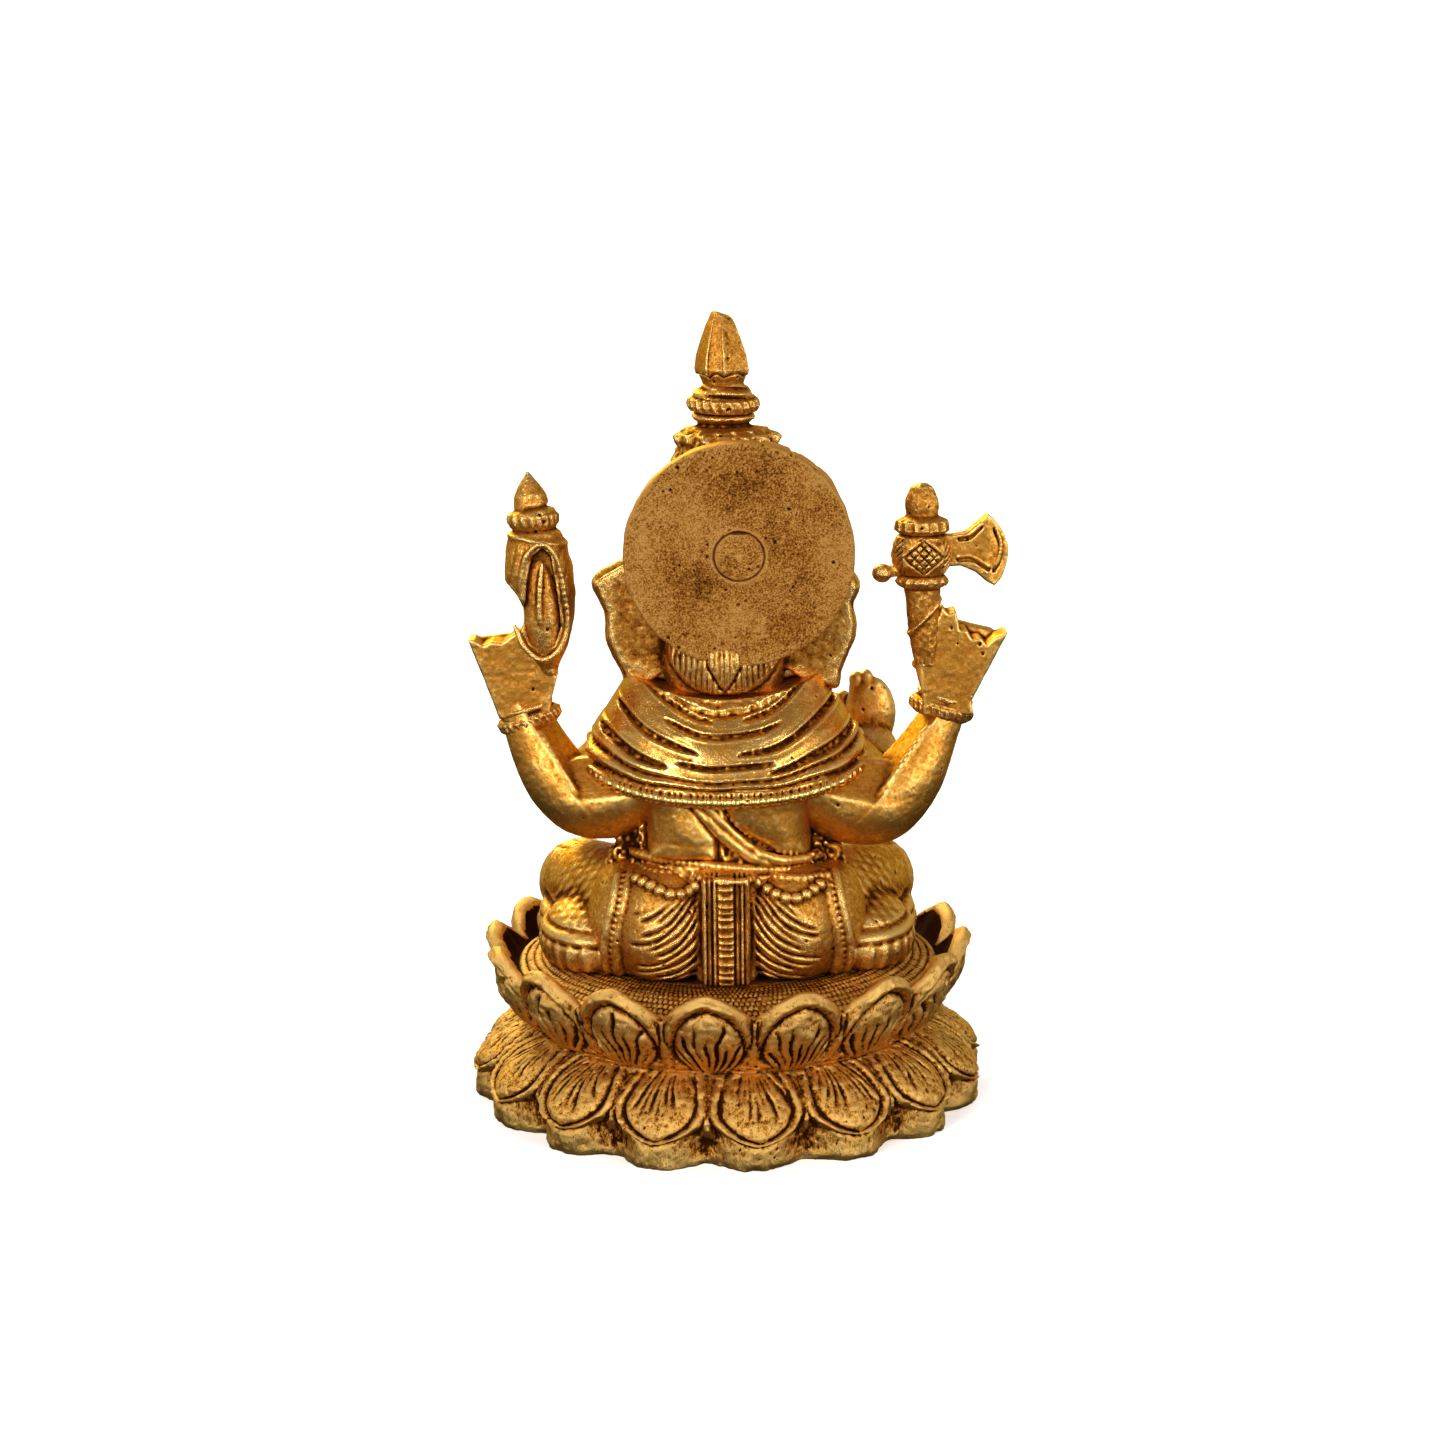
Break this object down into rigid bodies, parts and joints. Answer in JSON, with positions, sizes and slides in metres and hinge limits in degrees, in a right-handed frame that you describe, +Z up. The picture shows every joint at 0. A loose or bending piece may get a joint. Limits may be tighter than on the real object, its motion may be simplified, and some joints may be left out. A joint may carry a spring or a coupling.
{
  "type": "deity statue",
  "caption": "Seated elephant-headed deity on a tiered lotus pedestal, cast in brass sections, with a disc halo, bud-topped crown, conch and battle axe.",
  "frame": {"origin": "centre of the statue's footprint, on the surface that it stands on", "axes": "+Z up; the figure faces -Y, so its back is towards +Y; +X is the figure's left side"},
  "size_m": [0.1026, 0.1006, 0.152],
  "materials": {
    "brass": "cast and chased brass with a brown patina in the recesses",
    "worn_brass": "filed and hand-worn brass, brighter on the edges",
    "disc_brass": "sanded matte brass with dark casting pits",
    "steel": "plain bright steel"
  },
  "bodies": {
    "root": {"lotus_lower_tier": "brass", "lotus_upper_tier": "brass", "base_screw": "steel", "base_washer": "steel", "seated_body": "brass", "shawl_torso": "worn_brass", "body_dowels": "steel", "head": "brass", "left_tusk": "worn_brass", "right_tusk": "worn_brass", "crown_base": "brass", "crown_bud": "worn_brass", "crown_dowel": "steel", "halo_disc": "disc_brass", "halo_rivet": "disc_brass", "rear_left_arm": "brass", "rear_right_arm": "brass", "rear_arm_dowels": "steel", "rear_left_bangle": "worn_brass", "rear_right_bangle": "worn_brass", "rear_left_hand": "brass", "rear_right_hand": "brass", "conch": "brass", "axe_shaft": "brass", "axe_blade": "worn_brass", "front_left_arm": "brass", "front_right_arm": "brass", "front_arm_dowels": "steel", "sweet_bowl": "worn_brass"}
  },
  "joints": []
}
